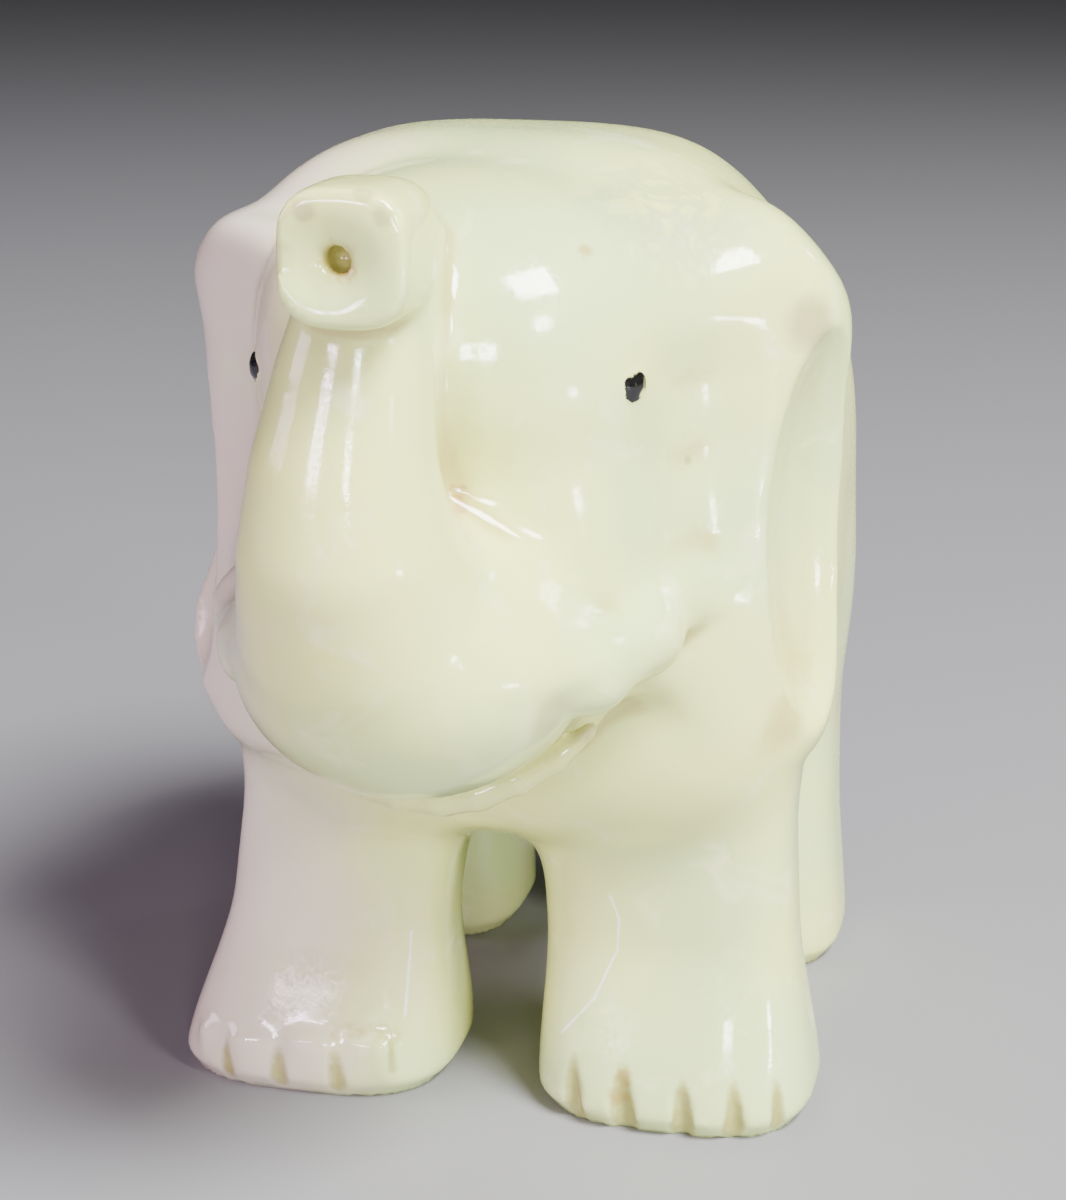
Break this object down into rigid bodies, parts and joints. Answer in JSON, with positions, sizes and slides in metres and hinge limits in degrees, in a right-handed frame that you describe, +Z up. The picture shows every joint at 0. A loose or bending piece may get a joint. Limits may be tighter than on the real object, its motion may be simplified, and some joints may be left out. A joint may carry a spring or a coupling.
{
  "type": "carved elephant figurine",
  "caption": "Small pale jade elephant carved whole from a single block, standing on thick legs with its trunk raised in front of its forehead.",
  "frame": {"origin": "on the ground, under the middle of the box that the figure fills", "axes": "+Z up, -Y the way the elephant faces, +X its left side"},
  "size_m": [0.0441, 0.072, 0.0658],
  "materials": {
    "pale_jade": "polished, slightly translucent, cream with a faint green"
  },
  "bodies": {
    "root": {"elephant": "pale_jade"}
  },
  "joints": []
}
